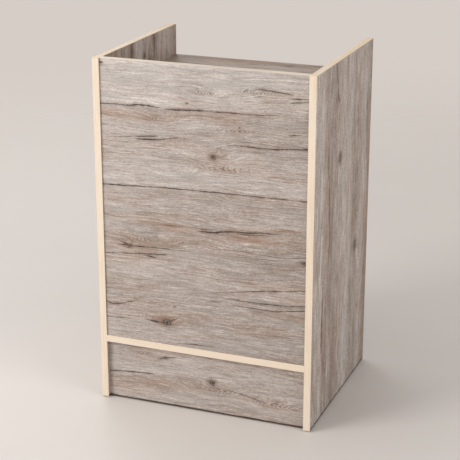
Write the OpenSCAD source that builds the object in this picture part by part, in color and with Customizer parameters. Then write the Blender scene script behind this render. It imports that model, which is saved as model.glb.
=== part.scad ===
// Knock-down cash register stand in laminated board, with a sunken register deck.
// Millimetres, +Z up. The customer's side faces -Y and the open back faces +Y.
// The origin is on the floor, under the middle of the footprint.

/* [Overall size] */
// Width across both sides
stand_w = 610; // [480:1:900]
// Depth from the front edges to the back edges
stand_d = 508; // [380:1:700]
// Height from the floor to the top of the sides
stand_h = 965; // [860:1:1200]
// Thickness of every board
board_t = 19; // [16:0.5:25]

/* [Boards] */
// Depth of the register well, from the top of the sides to the deck
well_depth = 89; // [40:1:160]
// Height of the bottom deck's underside above the floor
base_h = 171; // [120:1:250]
// How far the front panel stands behind the front edges
panel_setback = 4; // [1:0.5:20]
// How far the kick plate stands behind the front edges
kick_setback = 12; // [6:0.5:40]
// Toe space behind the rear kick plate
rear_kick_setback = 75; // [40:1:120]

/* [Edge banding] */
// Thickness of the edge band
band_t = 1; // [0.5:0.1:2]
// Radius on the band's long edges
band_round = 0.4; // [0.1:0.1:0.5]

/* [Adjustable shelf] */
// Height of the row's middle hole above the bottom deck
pin_row_h = 330; // [200:1:400]
// Spare holes in a row above the pin, and again below it
spare_holes = 2; // [1:1:3]
// Pitch of the holes in a row
row_pitch = 32; // [25:1:40]
// Distance from the rows to the front panel and to the back edges
row_inset = 37; // [25:1:60]
// Radius of a shelf pin's hole
pin_hole_r = 2.5; // [2:0.1:3]
// Depth of a shelf pin's hole
pin_hole_depth = 11; // [8:0.5:13]
// Gap between the shelf and each side
shelf_side_gap = 1.5; // [0.5:0.1:3]
// Gap between the shelf and the front panel
shelf_front_gap = 3; // [1:0.5:15]
// How far the shelf stops short of the back edges
shelf_rear_setback = 12; // [2:1:30]
// Gap between the shelf and the pins that carry it
rest_gap = 0.3; // [0.1:0.1:0.5]

/* [Shelf pins] */
// Length of the ledge under the shelf
ledge_l = 12; // [8:0.5:20]
// Width of the ledge
ledge_w = 8; // [6:0.5:12]
// Thickness of the ledge
ledge_t = 2; // [1:0.1:2.4]
// Thickness of the collar against the side
collar_t = 1.2; // [0.8:0.1:2]
// Radius of the collar
collar_r = 4.2; // [3.5:0.1:6]

/* [Cam fittings] */
// Radius of a cam lock's bore
cam_r = 7.5; // [6:0.5:9]
// How far a cam lock reaches past the bolt, into the board
cam_reach = 3; // [2.6:0.1:4]
// Wall of a cam lock's drum
cam_wall = 2.2; // [1.5:0.1:2.6]
// Distance from a board's end to the cam's centre
cam_setback = 34; // [24:1:40]
// Radius of the bolt's bore in the board's end
bolt_bore_r = 4; // [3.5:0.1:4.5]
// Radius of the bolt's neck
bolt_neck_r = 1.9; // [1.5:0.1:2.2]
// Radius of the bolt's pilot hole in the side
pilot_r = 2.5; // [2:0.1:3]
// Length of the bolt's thread in the side
thread_l = 11; // [8:0.5:13]
// Distance from a board's corner to its nearest cam
cam_edge = 50; // [40:1:70]

/* [Dowels] */
// Radius of a dowel's bore
dowel_bore_r = 4; // [3:0.5:5]
// Length of dowel in a face
dowel_in_face = 10; // [8:0.5:12]
// Length of dowel in an edge
dowel_in_edge = 20; // [15:1:25]
// Distance from a cam to its dowel
dowel_pitch = 32; // [25:1:40]
// Distance of the front panel's dowels from the middle
panel_dowel_x = 170; // [150:1:190]
// Distance of the kick plates' dowels from the middle
kick_dowel_x = 120; // [60:1:130]

/* [Floor glides] */
// Height of a glide, which is the gap under the boards
glide_h = 3; // [2:0.5:6]
// Radius of a glide
glide_r = 8; // [6:0.5:8]
// Distance from the front and back edges to a glide
glide_inset = 40; // [20:1:80]
// Radius of a glide's nail
nail_r = 1; // [0.8:0.1:1.2]
// Length of nail in the side
nail_l = 14; // [10:1:20]

/* [Hidden] */
$fn = 48;

// Colours
laminate = "#B5A79B";
maple = "#EFD9BC";
zinc = "#B9BBBD";
steel = "#8E9093";
beech = "#CFA877";
nickel = "#C9C6BE";
nylon = "#2B2A29";

// Clearances: a dowel or bolt in its bore, a cam in its bore, a bolt's head and neck in the cam,
// the spare depth of a bore, and a cut past a face
slide_fit = 0.05;
cam_fit = 0.1;
head_fit = 0.3;
neck_fit = 0.6;
bore_spare = 1;
overcut = 1;

// Faces of the carcass
side_x = stand_w / 2;
inner_x = side_x - board_t;
front_y = -stand_d / 2;
rear_y = stand_d / 2;
deck_top = stand_h - well_depth;
deck_z = deck_top - board_t;
base_top = base_h + board_t;
panel_y = front_y + panel_setback;
panel_back_y = panel_y + board_t;
kick_y = front_y + kick_setback;
rear_kick_y = rear_y - rear_kick_setback - board_t;

// Middle planes of the boards, where their fittings lie
deck_mid_z = deck_z + board_t / 2;
base_mid_z = base_h + board_t / 2;
panel_mid_y = panel_y + board_t / 2;
kick_mid_y = kick_y + board_t / 2;
rear_kick_mid_y = rear_kick_y + board_t / 2;
kick_mid_z = (glide_h + base_h) / 2;
panel_mid_z = (base_top + deck_z) / 2;

// Shelf pins and the shelf that they carry
pin_z = base_top + pin_row_h;
row_y = [panel_back_y + row_inset, rear_y - row_inset];
row_z = [for (i = [-spare_holes : spare_holes]) pin_z + i * row_pitch];
shelf_z = pin_z + pin_hole_r + rest_gap;
shelf_x = inner_x - shelf_side_gap;
shelf_y = panel_back_y + shelf_front_gap;
shelf_rear_y = rear_y - shelf_rear_setback;

// Cam drum, and a bolt head that passes through its bore and fits in the drum
drum_r = cam_r - cam_fit;
cavity_r = drum_r - cam_wall;
bolt_head_r = bolt_bore_r - 0.6;
bolt_shank_r = bolt_bore_r - 1;
head_l = sqrt(cavity_r ^ 2 - bolt_head_r ^ 2) - head_fit;
cam_foot = -cam_reach;
cam_top = board_t / 2 - cam_fit;

// Turns about X that point a cam's open face down, to the back or to the front
down = 180;
back = -90;
fore = 90;

// Cams and end dowels of each board, as [y, z, turn] on a side's inner face
deck_cams = [for (y = [panel_back_y + cam_edge, rear_y - cam_edge]) [y, deck_mid_z, down]];
base_cams = [for (y = [front_y + cam_edge, rear_y - cam_edge]) [y, base_mid_z, down]];
panel_cams = [for (z = [base_top + cam_edge, panel_mid_z, deck_z - cam_edge]) [panel_mid_y, z, back]];
kick_cams = [[kick_mid_y, kick_mid_z, back]];
rear_kick_cams = [[rear_kick_mid_y, kick_mid_z, fore]];
deck_dowels = [for (s = [-1, 1]) [deck_cams[(s + 1) / 2][0] - s * dowel_pitch, deck_mid_z, 0]];
base_dowels = [for (s = [-1, 1]) [base_cams[(s + 1) / 2][0] - s * dowel_pitch, base_mid_z, 0]];
panel_dowels = [for (i = [0, 2]) [panel_mid_y, panel_cams[i][1] + (1 - i) * dowel_pitch, 0]];
kick_dowels = [for (s = [-1, 1]) [kick_mid_y, kick_mid_z + s * dowel_pitch, 0]];
rear_kick_dowels = [for (s = [-1, 1]) [rear_kick_mid_y, kick_mid_z + s * dowel_pitch, 0]];
all_cams = concat(deck_cams, base_cams, panel_cams, kick_cams, rear_kick_cams);
all_dowels = concat(deck_dowels, base_dowels, panel_dowels, kick_dowels, rear_kick_dowels);

// A board or strip from one corner to the opposite one
module slab(low, high) {
    translate(low) cube(high - low);
}

// Children on the left side's inner face at each [y, z, turn], and again on the right side's
module at_sides(places) {
    for (m = [0, 1])
        mirror([m, 0, 0])
            for (p = places)
                translate([-inner_x, p[0], p[1]]) rotate([p[2], 0, 0]) children();
}

// A round bar or bore along X
module bar_x(x, r, l) {
    translate([x, 0, 0]) rotate([0, 90, 0]) cylinder(r = r, h = l);
}

// Bores for a bolt and its cam in a board's end
module cam_bores() {
    bar_x(-overcut, bolt_bore_r, cam_setback + 2 * overcut);
    translate([cam_setback, 0, cam_foot - cam_fit])
        cylinder(r = cam_r, h = board_t / 2 + cam_reach + cam_fit + overcut);
}

// A dowel's bore across a joint, in the face behind it and the edge ahead of it
module dowel_bores() {
    bar_x(-dowel_in_face - bore_spare, dowel_bore_r, dowel_in_face + dowel_in_edge + 2 * bore_spare);
}

// A dowel with chamfered ends, across the same joint
module dowel() {
    r = dowel_bore_r - slide_fit;
    chamfer = r / 4;
    rotate([0, 90, 0]) rotate_extrude() polygon([
        [0, -dowel_in_face], [r - chamfer, -dowel_in_face], [r, chamfer - dowel_in_face],
        [r, dowel_in_edge - chamfer], [r - chamfer, dowel_in_edge], [0, dowel_in_edge]
    ]);
}

// Places of the dowels that stand in edges: front panel on the bottom deck, deck on the
// front panel, and the two kick plates under the bottom deck
module at_panel_foot() {
    for (s = [-1, 1]) translate([s * panel_dowel_x, panel_mid_y, base_top]) rotate([0, -90, 0]) children();
}
module at_deck_front() {
    for (s = [-1, 1]) translate([s * panel_dowel_x, panel_back_y, deck_mid_z]) rotate([0, 0, 90]) children();
}
module at_kick_top(y) {
    for (s = [-1, 1]) translate([s * kick_dowel_x, y, base_h]) rotate([0, 90, 0]) children();
}

// Places of the glides under the left side, and again under the right side
module at_glides() {
    for (sx = [-1, 1], sy = [-1, 1])
        translate([sx * (side_x - board_t / 2), sy * (stand_d / 2 - glide_inset), 0]) children();
}

// An edge band's section: flat on the board, its two outer edges rounded
module band_section(width) {
    translate([-width / 2, 0]) square([width, band_t - band_round]);
    translate([band_round - width / 2, 0]) square([width - 2 * band_round, band_t]);
    for (s = [-1, 1]) translate([s * (width / 2 - band_round), band_t - band_round]) circle(band_round);
}

// Upright band on a side's front or back edge, its outer face towards local +Y
module upright_band() {
    translate([0, -band_t, glide_h]) linear_extrude(stand_h - band_t - glide_h) band_section(board_t);
}

// Level band across the stand, its outer face towards local +Y, centred on height z
module level_band(half_width) {
    translate([-half_width, -band_t, 0]) rotate([90, 0, 90]) linear_extrude(2 * half_width)
        rotate(-90) band_section(board_t);
}

module side_board() {
    color(laminate) difference() {
        slab([-side_x, front_y + band_t, glide_h], [-inner_x, rear_y - band_t, stand_h - band_t]);
        at_sides(all_cams) bar_x(-thread_l - bore_spare, pilot_r, thread_l + bore_spare + overcut);
        at_sides(all_dowels) dowel_bores();
        for (y = row_y, z = row_z)
            translate([-inner_x, y, z]) bar_x(-pin_hole_depth, pin_hole_r, pin_hole_depth + overcut);
        at_glides() cylinder(r = nail_r + slide_fit, h = glide_h + nail_l + bore_spare);
    }
}

module left_side_panel() { side_board(); }
module right_side_panel() { mirror([1, 0, 0]) side_board(); }

module front_panel() {
    color(laminate) difference() {
        slab([-inner_x, panel_y, base_top], [inner_x, panel_back_y, stand_h - band_t]);
        at_sides(panel_cams) cam_bores();
        at_sides(panel_dowels) dowel_bores();
        at_panel_foot() dowel_bores();
        at_deck_front() dowel_bores();
    }
}

module register_deck() {
    color(laminate) difference() {
        slab([-inner_x, panel_back_y, deck_z], [inner_x, rear_y - band_t, deck_top]);
        at_sides(deck_cams) cam_bores();
        at_sides(deck_dowels) dowel_bores();
        at_deck_front() dowel_bores();
    }
}

module bottom_deck() {
    color(laminate) difference() {
        slab([-inner_x, front_y + band_t, base_h], [inner_x, rear_y - band_t, base_top]);
        at_sides(base_cams) cam_bores();
        at_sides(base_dowels) dowel_bores();
        at_panel_foot() dowel_bores();
        at_kick_top(kick_mid_y) dowel_bores();
        at_kick_top(rear_kick_mid_y) dowel_bores();
    }
}

// A kick plate under the bottom deck, with its front face at y
module kick_board(y, cams, dowels) {
    color(laminate) difference() {
        slab([-inner_x, y, glide_h], [inner_x, y + board_t, base_h]);
        at_sides(cams) cam_bores();
        at_sides(dowels) dowel_bores();
        at_kick_top(y + board_t / 2) dowel_bores();
    }
}

module kick_plate() { kick_board(kick_y, kick_cams, kick_dowels); }
module rear_kick_plate() { kick_board(rear_kick_y, rear_kick_cams, rear_kick_dowels); }

module adjustable_shelf() {
    color(laminate)
        slab([-shelf_x, shelf_y + band_t, shelf_z], [shelf_x, shelf_rear_y - band_t, shelf_z + board_t]);
}

module left_front_band() {
    color(maple) translate([board_t / 2 - side_x, front_y, 0]) rotate(180) upright_band();
}
module right_front_band() { mirror([1, 0, 0]) left_front_band(); }

module left_rear_band() {
    color(maple) translate([board_t / 2 - side_x, rear_y, 0]) upright_band();
}
module right_rear_band() { mirror([1, 0, 0]) left_rear_band(); }

module left_top_band() {
    color(maple) translate([board_t / 2 - side_x, rear_y, stand_h - band_t])
        rotate([90, 0, 0]) linear_extrude(stand_d) band_section(board_t);
}
module right_top_band() { mirror([1, 0, 0]) left_top_band(); }

module front_panel_top_band() {
    color(maple) translate([-inner_x, panel_mid_y, stand_h - band_t])
        rotate([90, 0, 90]) linear_extrude(2 * inner_x) band_section(board_t);
}

module register_deck_rear_band() {
    color(maple) translate([0, rear_y, deck_mid_z]) level_band(inner_x);
}
module bottom_deck_front_band() {
    color(maple) translate([0, front_y, base_mid_z]) rotate(180) level_band(inner_x);
}
module bottom_deck_rear_band() {
    color(maple) translate([0, rear_y, base_mid_z]) level_band(inner_x);
}
module shelf_front_band() {
    color(maple) translate([0, shelf_y, shelf_z + board_t / 2]) rotate(180) level_band(shelf_x);
}
module shelf_rear_band() {
    color(maple) translate([0, shelf_rear_y, shelf_z + board_t / 2]) level_band(shelf_x);
}

// A cam lock: a drum hollow from below, with a mouth towards the bolt and a cross for the driver
module cam_lock() {
    cross_l = 9;
    cross_w = 1.8;
    cross_d = 2;
    mouth = bolt_neck_r + neck_fit;
    low = cam_foot - overcut;
    high = cam_top + overcut;
    translate([cam_setback, 0, 0]) difference() {
        translate([0, 0, cam_foot]) cylinder(r = drum_r, h = cam_top - cam_foot);
        translate([0, 0, low]) cylinder(r = cavity_r, h = bolt_head_r + head_fit - low);
        slab([-cam_r, -mouth, low], [0, mouth, mouth]);
        slab([-cross_l / 2, -cross_w / 2, cam_top - cross_d], [cross_l / 2, cross_w / 2, high]);
        slab([-cross_w / 2, -cross_l / 2, cam_top - cross_d], [cross_w / 2, cross_l / 2, high]);
    }
}

// A cam bolt along X: thread in the side, collar on its face, shank, neck, and head in the cam
module cam_bolt() {
    collar_l = 1.5;
    point = 1;
    head_back = cam_setback - head_l;
    shank_end = cam_setback - cam_r - bore_spare;
    round_off = head_l / 3;
    rotate([0, 90, 0]) rotate_extrude() polygon([
        [0, -thread_l], [pilot_r - point, -thread_l], [pilot_r - slide_fit, point - thread_l],
        [pilot_r - slide_fit, 0], [bolt_bore_r - cam_fit, 0], [bolt_bore_r - cam_fit, collar_l],
        [bolt_shank_r, collar_l], [bolt_shank_r, shank_end], [bolt_neck_r, shank_end],
        [bolt_neck_r, head_back - round_off / 2], [bolt_head_r, head_back],
        [bolt_head_r, cam_setback - round_off], [bolt_head_r - round_off, cam_setback], [0, cam_setback]
    ]);
}

module cam_locks() { color(zinc) at_sides(all_cams) cam_lock(); }
module cam_bolts() { color(steel) at_sides(all_cams) cam_bolt(); }

module wood_dowels() {
    color(beech) {
        at_sides(all_dowels) dowel();
        at_panel_foot() dowel();
        at_deck_front() dowel();
        at_kick_top(kick_mid_y) dowel();
        at_kick_top(rear_kick_mid_y) dowel();
    }
}

// A shelf pin: shank in the side, a collar cut flat on top, and a round-nosed ledge
module shelf_pin() {
    top = pin_hole_r;
    bar_x(-pin_hole_depth + bore_spare, pin_hole_r - slide_fit, pin_hole_depth - bore_spare);
    difference() {
        bar_x(0, collar_r, collar_t);
        slab([-overcut, -collar_r - overcut, top], [collar_t + overcut, collar_r + overcut, collar_r + overcut]);
    }
    translate([0, 0, top - ledge_t]) linear_extrude(ledge_t) {
        translate([0, -ledge_w / 2]) square([ledge_l - ledge_w / 2, ledge_w]);
        translate([ledge_l - ledge_w / 2, 0]) circle(ledge_w / 2);
    }
}
module shelf_pins() {
    color(nickel) at_sides([for (y = row_y) [y, pin_z, 0]]) shelf_pin();
}

// A moulded glide, domed at its rim and counterbored for its nail's head
module floor_glides() {
    rim = glide_h / 2;
    color(nylon) at_glides() difference() {
        rotate_extrude() polygon([
            [0, 0], [glide_r - rim, 0], [glide_r, rim], [glide_r, glide_h], [0, glide_h]
        ]);
        translate([0, 0, -overcut]) cylinder(r = nail_r + slide_fit, h = glide_h + 2 * overcut);
        translate([0, 0, -overcut]) cylinder(r = 2.5 * nail_r + slide_fit, h = glide_h / 3 + overcut);
    }
}

module glide_nails() {
    head_t = glide_h / 4;
    color(steel) at_glides() translate([0, 0, glide_h / 3 - head_t]) {
        cylinder(r = 2.5 * nail_r, h = head_t);
        cylinder(r = nail_r, h = head_t + glide_h * 2 / 3 + nail_l);
    }
}

left_side_panel();
right_side_panel();
front_panel();
register_deck();
bottom_deck();
kick_plate();
rear_kick_plate();
adjustable_shelf();
left_front_band();
right_front_band();
left_top_band();
right_top_band();
left_rear_band();
right_rear_band();
front_panel_top_band();
register_deck_rear_band();
bottom_deck_front_band();
bottom_deck_rear_band();
shelf_front_band();
shelf_rear_band();
cam_locks();
cam_bolts();
wood_dowels();
shelf_pins();
floor_glides();
glide_nails();
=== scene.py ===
"""Cash register stand: the finishes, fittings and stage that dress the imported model.

Laid out as an add-on with one operator for each group of like pieces, and run as a script.
Everything is in metres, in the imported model's own frame, unless a comment says millimetres.
"""
import math
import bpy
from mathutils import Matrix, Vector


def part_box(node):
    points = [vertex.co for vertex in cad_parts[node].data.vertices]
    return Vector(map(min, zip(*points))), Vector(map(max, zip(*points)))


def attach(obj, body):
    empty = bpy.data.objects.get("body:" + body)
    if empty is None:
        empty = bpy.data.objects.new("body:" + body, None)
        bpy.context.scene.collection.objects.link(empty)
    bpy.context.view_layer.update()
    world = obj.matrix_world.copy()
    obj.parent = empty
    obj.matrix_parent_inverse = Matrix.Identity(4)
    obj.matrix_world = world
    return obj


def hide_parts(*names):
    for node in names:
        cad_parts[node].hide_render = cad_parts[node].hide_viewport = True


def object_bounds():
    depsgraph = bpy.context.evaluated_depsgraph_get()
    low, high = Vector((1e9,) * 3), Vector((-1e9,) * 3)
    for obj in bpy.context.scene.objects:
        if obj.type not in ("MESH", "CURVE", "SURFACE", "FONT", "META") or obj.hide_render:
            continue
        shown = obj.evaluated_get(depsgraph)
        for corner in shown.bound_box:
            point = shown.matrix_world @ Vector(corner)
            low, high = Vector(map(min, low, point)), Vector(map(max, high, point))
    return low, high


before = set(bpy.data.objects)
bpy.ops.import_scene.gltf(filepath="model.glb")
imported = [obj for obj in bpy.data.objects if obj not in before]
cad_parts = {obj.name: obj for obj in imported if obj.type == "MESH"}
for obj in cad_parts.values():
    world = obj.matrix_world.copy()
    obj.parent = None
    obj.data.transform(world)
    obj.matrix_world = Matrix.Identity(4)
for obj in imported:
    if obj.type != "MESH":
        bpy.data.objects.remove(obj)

from types import SimpleNamespace

import bpy
import numpy as np
from bpy.props import FloatProperty, FloatVectorProperty, IntProperty, PointerProperty
from mathutils import Vector

bl_info = {
    "name": "Cash register stand",
    "version": (1, 0, 0),
    "blender": (4, 5, 0),
    "location": "3D View > Sidebar > Register stand",
    "description": "Dresses the packed register stand in laminate, edge band, metal and nylon",
    "category": "Object",
}

CAD_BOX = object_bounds()
MM = 0.001


def linear(hex_colour):
    """An sRGB hex colour as linear RGBA: c / 12.92 up to 0.04045, else ((c + 0.055) / 1.055) ** 2.4."""
    values = [int(hex_colour[i : i + 2], 16) / 255 for i in (1, 3, 5)]
    return [c / 12.92 if c <= 0.04045 else ((c + 0.055) / 1.055) ** 2.4 for c in values] + [1.0]


def colour(name, hex_colour, description):
    """A colour property with its default in hex."""
    default = linear(hex_colour)
    return FloatVectorProperty(
        name=name, description=description, default=default, size=4, min=0, max=1, subtype="COLOR"
    )


def length(name, value, description):
    """A length property with its default in metres."""
    return FloatProperty(name=name, description=description, default=value, min=0, unit="LENGTH")


def share(name, value, description):
    """A property between 0 and 1."""
    return FloatProperty(name=name, description=description, default=value, min=0, max=1)


def power(name, value, description):
    """A lamp's power in watts."""
    return FloatProperty(name=name, description=description, default=value, min=0, unit="POWER")


def angle(name, degrees, description):
    """An angle property with its default in degrees."""
    return FloatProperty(name=name, description=description, default=math.radians(degrees), unit="ROTATION")


class LaminateFinish(bpy.types.PropertyGroup):
    """Printed weathered-oak laminate on particle board."""

    pore: colour("Pore", "#61534A", "Darkest grain lines")
    shade: colour("Shaded grain", "#8C7E73", "Dark bands of the grain")
    body: colour("Body", "#AD9F96", "Ground colour of the print")
    pale: colour("Pale grain", "#C5BBB4", "Limed bands of the grain")
    chalk: colour("Chalk", "#E1DAD4", "Lightest grain lines")
    tan: colour("Tan", "#A07B60", "Brown zones of the print")
    grey: colour("Grey", "#A5A09C", "Weathered zones of the print")
    line: colour("Growth line", "#7B6352", "Brown growth lines")
    crack: colour("Crack", "#2D221C", "Drying cracks and plank seams")
    knot: colour("Knot", "#54463C", "Rings of a knot")
    fibre: length("Fibre width", 1.6 * MM, "Width of a fibre, drawn twice as coarse as real so that it shows")
    streak: length("Streak width", 9 * MM, "Width of a grain streak")
    plank: length("Band width", 46 * MM, "Width of a tone band")
    emboss: length("Emboss depth", 0.12 * MM, "Depth of the pressed grain")
    roughness: share("Roughness", 0.46, "Roughness of the melamine")


class ChipboardFinish(bpy.types.PropertyGroup):
    """Raw particle board in bores and on unbanded edges."""

    chip: colour("Chip", "#C9A97C", "Pale wood chips")
    resin: colour("Resin", "#86663F", "Glue and bark between the chips")
    grain: length("Chip size", 2.2 * MM, "Mean size of a chip")


class BandFinish(bpy.types.PropertyGroup):
    """Extruded edge band with a pale maple print."""

    face: colour("Maple", "#EBDAC6", "Ground colour of the band")
    line: colour("Maple line", "#DDC19C", "Faint lengthwise grain")
    line_width: length("Line width", 2.4 * MM, "Width of a grain line, drawn coarse enough to show")
    roughness: share("Roughness", 0.5, "Roughness of the band")


class HardwareFinish(bpy.types.PropertyGroup):
    """Metal, nylon and beech of the fittings."""

    zinc: colour("Die-cast zinc", "#B4B5B4", "Tumbled die-cast zinc")
    steel: colour("Plated steel", "#B9BAB6", "Zinc-plated turned steel")
    nickel: colour("Nickel", "#C8C2B4", "Nickel plating on pressed steel")
    nylon: colour("Nylon", "#262423", "Black moulded nylon")
    beech: colour("Beech", "#D0AB7B", "Compressed beech dowel")
    fleck: colour("Beech fleck", "#A9794B", "Rays and pores of the beech")


class HardwareSizes(bpy.types.PropertyGroup):
    """Details of the fittings that the solids leave plain."""

    thread_pitch: length("Thread pitch", 2.75 * MM, "Pitch of a cam bolt's thread")
    thread_depth: length("Thread depth", 0.6 * MM, "Depth of a cam bolt's thread")
    flutes: IntProperty(name="Dowel flutes", description="Grooves round a dowel", default=18, min=6)
    flute_depth: length("Flute depth", 0.28 * MM, "Depth of a dowel's groove")
    recess_length: length("Recess arm", 4.4 * MM, "Reach of a cam's cross recess from its middle")
    recess_width: length("Recess half width", 0.9 * MM, "Half the width of an arm of the recess")
    recess_depth: length("Recess depth", 2.0 * MM, "Depth of the cross recess")
    cam_setback: length("Cam setback", 34 * MM, "Distance from a board's end to the cam's middle")
    cam_edge: length("Cam inset", 50 * MM, "Distance from a board's corner to its nearest cam")
    dowel_pitch: length("Dowel pitch", 32 * MM, "Distance from a cam to its dowel")
    panel_dowel_x: length("Panel dowel place", 170 * MM, "From the middle to the front panel's dowels")
    kick_dowel_x: length("Kick dowel place", 120 * MM, "From the middle to the kick plates' dowels")
    pin_collar: length("Pin collar", 4.2 * MM, "Radius of a shelf pin's collar")
    glide_radius: length("Glide radius", 8 * MM, "Radius of a floor glide")


class StageSettings(bpy.types.PropertyGroup):
    """Floor, lamps and camera."""

    floor: colour("Floor", "#D9D2CC", "Pale polished floor")
    air: colour("Backdrop", "#D5CDC6", "What the camera sees past the floor")
    reach: length("Floor's reach", 6.0, "Radius of the floor disc")
    ambient: share("Ambient", 0.57, "Strength of the light from all round")
    bounce: colour("Bounce", "#FFFEFD", "Colour of the light from all round")
    lean: share("Lean", 1.0, "How much more of it comes from the left than from the right")
    key: power("Key lamp", 97, "Soft lamp at the front left")
    fill: power("Fill lamp", 112, "Soft lamp at the right")
    back: power("Back lamp", 40, "Soft lamp at the back left")
    azimuth: angle("Azimuth", 21.15, "Camera's turn round the stand")
    elevation: angle("Elevation", 19.05, "Camera's tilt")
    lens: FloatProperty(
        name="Lens", description="Focal length on a 36 mm sensor", default=109.5, min=1, unit="CAMERA"
    )
    eye: FloatVectorProperty(
        name="Eye", description="Place of the camera", default=(1.3126, -3.4451, 1.7227), unit="LENGTH"
    )


GROUPS = {
    "laminate": LaminateFinish,
    "chipboard": ChipboardFinish,
    "band": BandFinish,
    "hardware": HardwareFinish,
    "sizes": HardwareSizes,
    "stage": StageSettings,
}


class RegisterStandSettings(bpy.types.PropertyGroup):
    """Everything that a user of the stand would change."""

    laminate: PointerProperty(type=LaminateFinish, name="Laminate", description="Finish of the boards")
    chipboard: PointerProperty(type=ChipboardFinish, name="Chipboard", description="Core of the boards")
    band: PointerProperty(type=BandFinish, name="Edge band", description="Finish of the edge bands")
    hardware: PointerProperty(type=HardwareFinish, name="Fittings", description="Finish of the fittings")
    sizes: PointerProperty(type=HardwareSizes, name="Fitting details", description="Details of the fittings")
    stage: PointerProperty(type=StageSettings, name="Stage", description="Floor, lamps and camera")


def settings(group):
    """One group of the scene's settings."""
    return getattr(bpy.context.scene.register_stand, group)


def feed(node, inputs):
    """Links or fills a node's inputs, by name or number. A node as an input means its first output."""
    sockets = [socket for socket in node.inputs if socket.enabled]
    for key, value in inputs.items():
        socket = sockets[key] if isinstance(key, int) else next(s for s in sockets if s.name == key)
        if isinstance(value, bpy.types.Node):
            value = next(output for output in value.outputs if output.enabled)
        if isinstance(value, bpy.types.NodeSocket):
            node.id_data.links.new(value, socket)
        else:
            socket.default_value = value


def put_stops(node, stops):
    """Gives a colour ramp its (place, colour) stops, or a float curve its (place, height) points."""
    if node.bl_idname == "ShaderNodeValToRGB":
        elements = node.color_ramp.elements
        while len(elements) < len(stops):
            elements.new(0.5)
        for element, (place, value) in zip(elements, stops):
            element.position = place
            element.color = value
        return
    points = node.mapping.curves[0].points
    points[0].location = stops[0]
    points[-1].location = stops[-1]
    for place, value in stops[1:-1]:
        points.new(place, value)
    for point in points:
        point.handle_type = "AUTO_CLAMPED"
    node.mapping.update()


def add(tree, kind, inputs=None, stops=None, **fields):
    """Adds a node with its fields, its inputs and, on a ramp or curve, its stops."""
    node = tree.nodes.new(kind)
    for name, value in fields.items():
        setattr(node, name, value)
    feed(node, inputs or {})
    if stops:
        put_stops(node, stops)
    return node


def finish(name):
    """A new material, its node tree and its shader."""
    material = bpy.data.materials.new(name)
    material.use_nodes = True
    return material, material.node_tree, material.node_tree.nodes["Principled BSDF"]


def dress(material, *nodes):
    """Gives CAD nodes a material."""
    for name in nodes:
        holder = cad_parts[name]
        if not holder.material_slots:
            holder.data.materials.append(material)
        for slot in holder.material_slots:
            slot.material = material


def middle(node, axis):
    """The middle of a node along an axis."""
    low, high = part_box(node)
    return (low[axis] + high[axis]) / 2


# What a board's print is drawn from, and what a board has where its own look leaves it out. All places
# are millimetres on the face, along the grain and then across it, and lines run from their left or lower end.
PLAIN = {
    "cracks": [],  # drying cracks and plank seams: points, each with the half width of the line there
    "knots": [],  # centre, half length, half width
    "hills": [],  # what lifts the grain into eyes and cathedrals: centre, half length, half width, lift
    "zones": [],  # browner places, or greyer where negative: centre, half length, half width, strength
    "arcs": [],  # nested arcs: centre, half length (negative where they point right), half width, pitch
    "tone": [],  # lightness across the grain: place, shift
    "slope": 0.0,  # how far the grain climbs per millimetre
    # painted light: the fade makes a board lighter or darker along its grain, standing in for the lamps'
    # falloff across it
    "fade": 0.0,  # how much lighter it gets per millimetre along the grain
    "face": -1,  # the face that shows the drawing: -1 the lower along the board's thickness, 1 the upper
    "contrast": 1.0,  # strength of the lightness noise
    "mottle": 0.0,  # strength of a blotchy layer on top of it
    "warmth": 0.02,  # lean towards brown
}

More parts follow.
